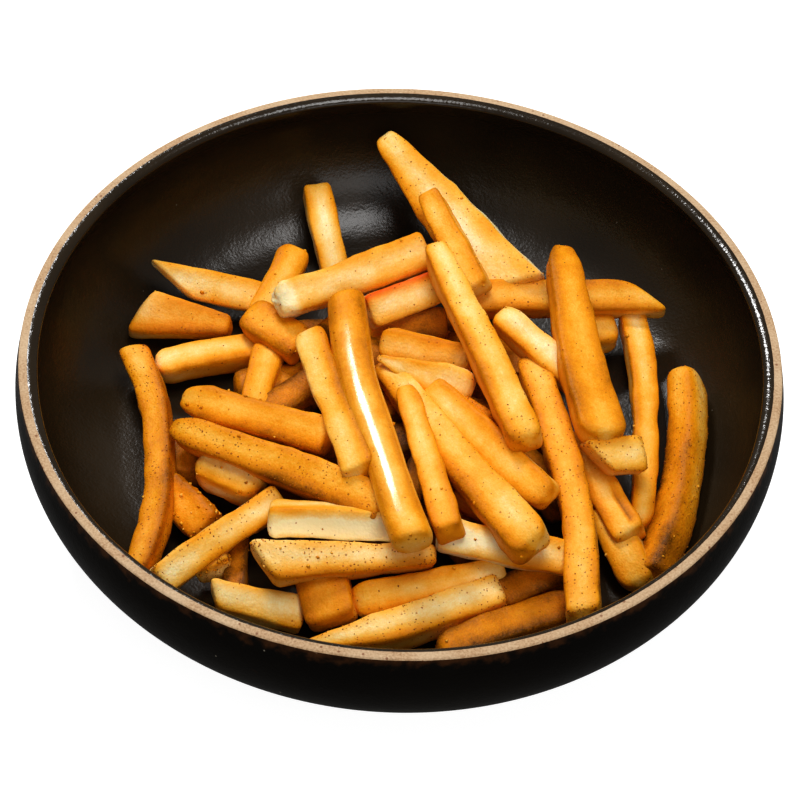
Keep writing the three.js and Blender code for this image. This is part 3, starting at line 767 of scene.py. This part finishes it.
def grains_piece(name, rings_of_fries, per_fry, sizes, sunk, ranges, material, seed, sides=6):
    """Small flat-sided grains, scattered on the upper sides of the fries that show.

    ranges has the marks that vary from grain to grain, each with its least and its most.
    """
    stream = np.random.RandomState(seed)
    places, ups = grain_places(rings_of_fries, FRIES, per_fry, stream)
    total = len(places)
    radius = stream.uniform(sizes[0], sizes[1], total) / 2
    # each grain is a squashed bead: a ring of uneven corners, a top and a bottom
    spin = stream.uniform(0, 2 * math.pi, (total, 1)) + np.linspace(0, 2 * math.pi, sides, endpoint=False)
    reach = radius[:, None] * stream.uniform(0.6, 1.2, (total, sides))
    flat = np.cross(ups, stream.normal(size=(total, 3)))
    flat /= np.linalg.norm(flat, axis=1)[:, None]
    other = np.cross(ups, flat)
    high = radius * stream.uniform(0.5, 0.9, total)
    middle = places + ups * (high * (1 - 2 * sunk))[:, None]
    corners = (middle[:, None] + flat[:, None] * (reach * np.cos(spin))[..., None]
               + other[:, None] * (reach * np.sin(spin))[..., None])
    top = middle + ups * high[:, None]
    bottom = middle - ups * high[:, None]
    points = np.concatenate([corners, top[:, None], bottom[:, None]], axis=1).reshape(-1, 3)
    faces = []
    for grain in range(total):
        base = grain * (sides + 2)
        for i in range(sides):
            j = (i + 1) % sides
            faces += [(base + i, base + j, base + sides), (base + j, base + i, base + sides + 1)]
    marks = {"along": points}
    for mark, (least, most) in ranges.items():
        marks[mark] = np.repeat(stream.uniform(least, most, total), sides + 2)
    make_piece(name, points, faces, marks, material)


def hidden_fries():
    """The layers under the fries that show, each laid from the middle outwards."""
    stream = np.random.RandomState(7)
    golden_angle = math.pi * (3 - math.sqrt(5))
    laid = []
    for layer in LAYERS:
        for i in range(layer["count"]):
            out = math.sqrt((i + 0.5) / layer["count"])
            # its height starts each layer at an angle of its own
            place = i * golden_angle + layer["middle"]
            heading = place + math.pi / 2 + (stream.rand() - 0.5) * math.pi * (1.6 - out)
            half = stream.uniform(*LAYER_LENGTH) / 2
            x = layer["radius"] * out * math.cos(place)
            y = layer["radius"] * out * math.sin(place)
            z = layer["middle"] + (layer["edge"] - layer["middle"]) * out
            dx, dy = half * math.cos(heading), half * math.sin(heading)
            # each is given a dark brown tone: painted shade in the gaps between the fries that show
            laid.append(fry((x - dx, y - dy, z), (x + dx, y + dy, z), LAYER_WIDTH, LAYER_DEPTH,
                            tone=0.97 + 0.1 * stream.rand()))
    return laid


# ---- light, floor and camera ----

WORLD_STRENGTH = 0.22

# name, direction towards it, distance and size in metres, power in watts
SOFT_LIGHTS = [
    ("soft_box_overhead", (0.1, 0.01, 0.99), 1.1, (0.48, 0.42), 4.7),
    ("window_behind", (-0.3, 0.59, 0.75), 1.2, (0.32, 0.18), 7),
    ("pale_wall_in_front", (0.15, -0.75, 0.65), 1.3, (1.0, 0.6), 3.0),
]
LIT_POINT = Vector((0, 0, 0.03))  # in metres, the middle of the heap, which the lights face

CAMERA_PLACE = Vector((0, -474.0, 577.3)) * MM
CAMERA_TARGET = Vector((0.21, -18.24, 50)) * MM
CAMERA_ROLL = 2.72  # degrees
LENS = 121.5
SENSOR = 36


def studio():
    """A white table, a large soft light overhead, a window behind and a pale wall in front."""
    floor_material, tree = new_material("white_table")
    place = add(tree, "ShaderNodeTexCoord").outputs["Object"]
    cloud = add(tree, "ShaderNodeTexNoise", {"Vector": place, "Scale": 3, "Detail": 2}).outputs["Fac"]
    white = add(tree, "ShaderNodeValToRGB", {"Fac": cloud},
                stops=[(0.0, colour("C4C4C4")), (1.0, colour("CACACA"))]).outputs[0]
    shader = add(tree, "ShaderNodeBsdfPrincipled", {
        "Base Color": white, "Roughness": 0.8, "Specular IOR Level": 0.1,
        "Emission Color": (1, 1, 1, 1), "Emission Strength": 0.72,
    })
    add(tree, "ShaderNodeOutputMaterial", {"Surface": shader.outputs[0]})
    bpy.ops.mesh.primitive_plane_add(size=6, location=(0, 0, 0))
    floor = bpy.context.object
    floor.name = "table_top"
    floor.data.materials.append(floor_material)

    world = bpy.data.worlds.new("studio")
    world.use_nodes = True
    world.node_tree.nodes["Background"].inputs["Color"].default_value = (1, 1, 1, 1)
    world.node_tree.nodes["Background"].inputs["Strength"].default_value = WORLD_STRENGTH
    bpy.context.scene.world = world

    for name, towards, distance, size, power in SOFT_LIGHTS:
        lamp = bpy.data.lights.new(name, "AREA")
        lamp.shape = "RECTANGLE"
        lamp.size = size[0]
        lamp.size_y = size[1]
        lamp.energy = power
        holder = bpy.data.objects.new(name, lamp)
        bpy.context.scene.collection.objects.link(holder)
        way = Vector(towards).normalized()
        holder.location = way * distance + LIT_POINT
        holder.rotation_euler = way.to_track_quat("Z", "Y").to_euler()

    view = bpy.context.scene.view_settings
    view.view_transform = "Standard"
    view.look = "Medium High Contrast"


def camera():
    """Seen from the near side, from 49 degrees up, with the camera tilted a little."""
    lens = bpy.data.cameras.new("camera")
    lens.sensor_width = SENSOR
    lens.lens = LENS
    lens.clip_start = 0.01
    holder = bpy.data.objects.new("camera", lens)
    bpy.context.scene.collection.objects.link(holder)
    turn = (CAMERA_PLACE - CAMERA_TARGET).to_track_quat("Z", "Y").to_matrix()
    roll = Matrix.Rotation(math.radians(CAMERA_ROLL), 3, "Z")
    holder.matrix_world = Matrix.Translation(CAMERA_PLACE) @ (turn @ roll).to_4x4()
    bpy.context.scene.camera = holder


# ---- the portion ----

camera()
studio()
# The same glaze is given a darker colour outside than inside: painted shade on the outside, which the white
# table lights.
satin = black_glazed_stoneware("satin_black_glaze", roughness=0.28, specular=0.44,
                               dark="261D11", light="302516")
matt = black_glazed_stoneware("matt_black_glaze", roughness=0.6, specular=0.01,
                              dark="0B0907", light="0E0C09")
potato = fried_potato()
bowl_piece(satin, matt)
rings_on_top = heap_piece("fries_on_top", FRIES, FRY_AROUND, FRY_STEP, potato, "fries")
heap_piece("fries_beneath", hidden_fries(), HIDDEN_AROUND, HIDDEN_STEP, potato, first=100)
grains_piece("spice_on_fries", rings_on_top, lambda one: SPICE_COUNT * one["spice"] ** 1.5,
             SPICE_SIZES, SPICE_SUNK, {"shade": (0.1, 1)}, ground_spice(), seed=61)
grains_piece("crumbs_on_fries", rings_on_top, lambda one: FEWEST_CRUMBS + CRUMB_COUNT * one["crumbly"],
             CRUMB_SIZES, CRUMB_SUNK, {"tone": (0.3, 0.85), "browned": (0, 0.6)}, potato, seed=62, sides=7)
